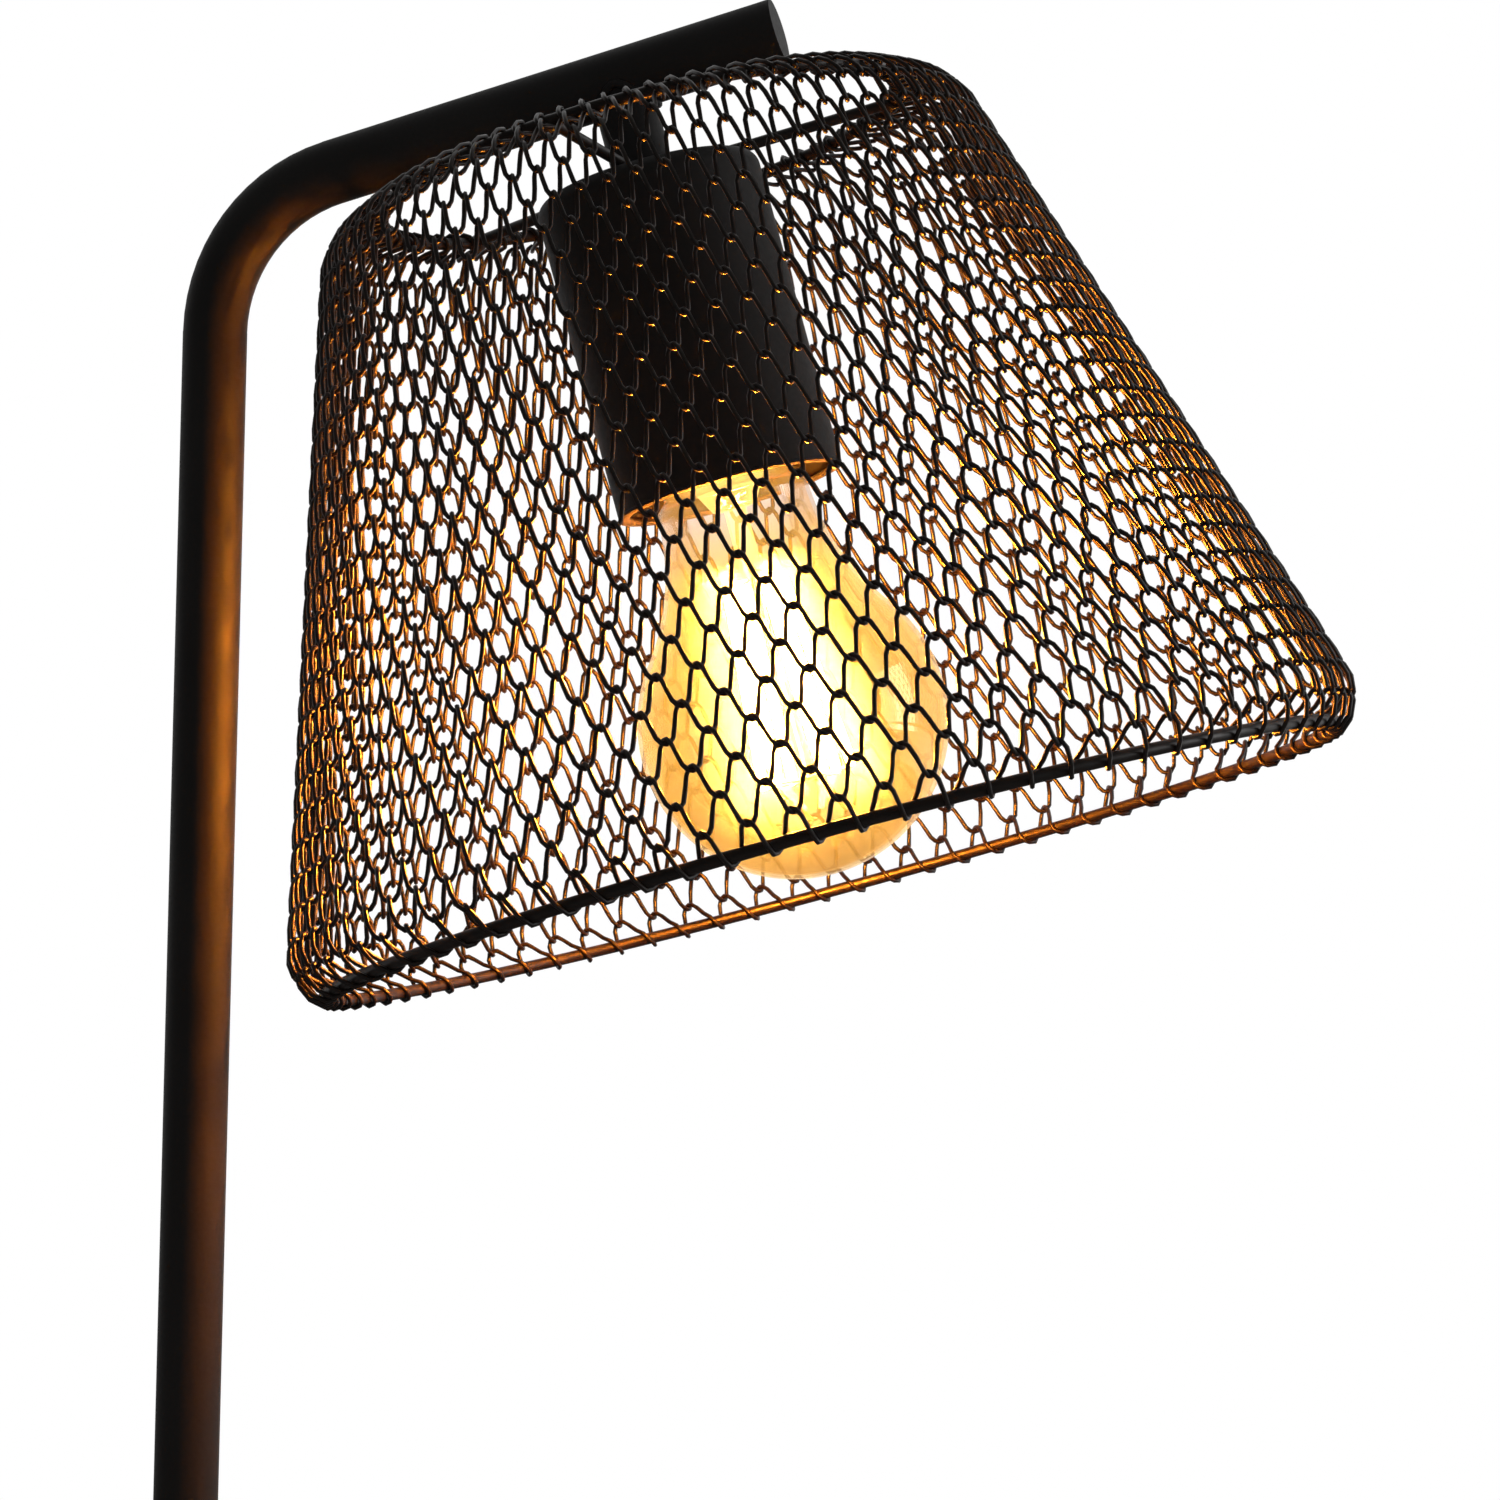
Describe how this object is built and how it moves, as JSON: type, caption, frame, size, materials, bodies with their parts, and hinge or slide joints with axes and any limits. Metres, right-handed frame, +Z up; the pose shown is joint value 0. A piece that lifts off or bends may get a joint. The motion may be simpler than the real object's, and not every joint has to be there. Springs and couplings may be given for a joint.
{
  "type": "table lamp",
  "caption": "Table lamp with a bent tube stem on a round weighted base and a tapered wire mesh shade round a bare screw-in bulb.",
  "frame": {"origin": "centre of the underside of the base, on the axis of the upright stem", "axes": "+Z up along the stem, +X toward the side that the arm leans out to, +Y to the left of +X"},
  "size_m": [0.3123, 0.211, 0.4694],
  "materials": {
    "black_steel": "matte, fine-textured powder coat",
    "grey_iron": "rough as cast",
    "zinc_steel": "plain zinc plating",
    "soft_pad": "matte foam",
    "black_plastic": "matte moulded",
    "lead_sheath": "satin sheath",
    "brass": "plain rolled",
    "dark_phenolic": "satin moulded",
    "white_ceramic": "unglazed",
    "solder": "dull solder",
    "black_glass": "gloss",
    "nickel_cap": "nickel plate",
    "amber_glass": "clear, amber tint, gloss",
    "clear_glass": "clear, gloss",
    "light_stick": "glowing phosphor coat",
    "circuit_board": "matte"
  },
  "bodies": {
    "lamp": {"base_cover": "black_steel", "base_weight": "grey_iron", "base_plate": "zinc_steel", "base_screws": "zinc_steel", "base_pad": "soft_pad", "cord_inlet_bush": "black_plastic", "terminal_block": "black_plastic", "inner_leads": "lead_sheath", "foot_insert": "brass", "foot_nipple": "zinc_steel", "foot_washer": "zinc_steel", "foot_nut": "zinc_steel", "stem_tube": "black_steel", "arm_end_plug": "black_steel", "head_neck": "black_steel", "neck_nipple": "zinc_steel", "spider_hub": "black_steel", "spider_arms": "black_steel", "top_ring": "black_steel", "bottom_ring": "black_steel", "mesh_course_01": "black_steel", "mesh_course_02": "black_steel", "mesh_course_03": "black_steel", "mesh_course_04": "black_steel", "mesh_course_05": "black_steel", "mesh_course_06": "black_steel", "mesh_course_07": "black_steel", "mesh_course_08": "black_steel", "mesh_course_09": "black_steel", "mesh_course_10": "black_steel", "mesh_course_11": "black_steel", "mesh_course_12": "black_steel", "mesh_course_13": "black_steel", "holder_cup": "black_steel", "cup_nut": "zinc_steel", "holder_cap": "dark_phenolic", "holder_skirt": "dark_phenolic", "contact_base": "white_ceramic", "terminal_screws": "brass", "screw_shell": "brass", "centre_contact": "brass"},
    "bulb_contact": {"bulb_contact": "solder"},
    "bulb": {"bulb_insulator": "black_glass", "bulb_cap": "nickel_cap", "bulb_glass": "amber_glass", "bulb_stem": "clear_glass", "bulb_support_wires": "zinc_steel", "bulb_filaments": "light_stick", "bulb_driver": "circuit_board"}
  },
  "joints": [
    {"name": "bulb_travel", "type": "slide", "parent": "lamp", "child": "bulb_contact", "axis": [0.2874, 0, -0.9578], "range_m": [0, 0.0218]},
    {"name": "bulb_turn", "type": "hinge", "parent": "bulb_contact", "child": "bulb", "pos_m": [0.09823, 0, 0.39638], "axis": [0.2874, 0, -0.9578], "range_deg": [0, 2160]}
  ],
  "couplings": [
    {"joint": "bulb_travel", "follows": "bulb_turn", "m_per_rad": 0.00057757}
  ]
}
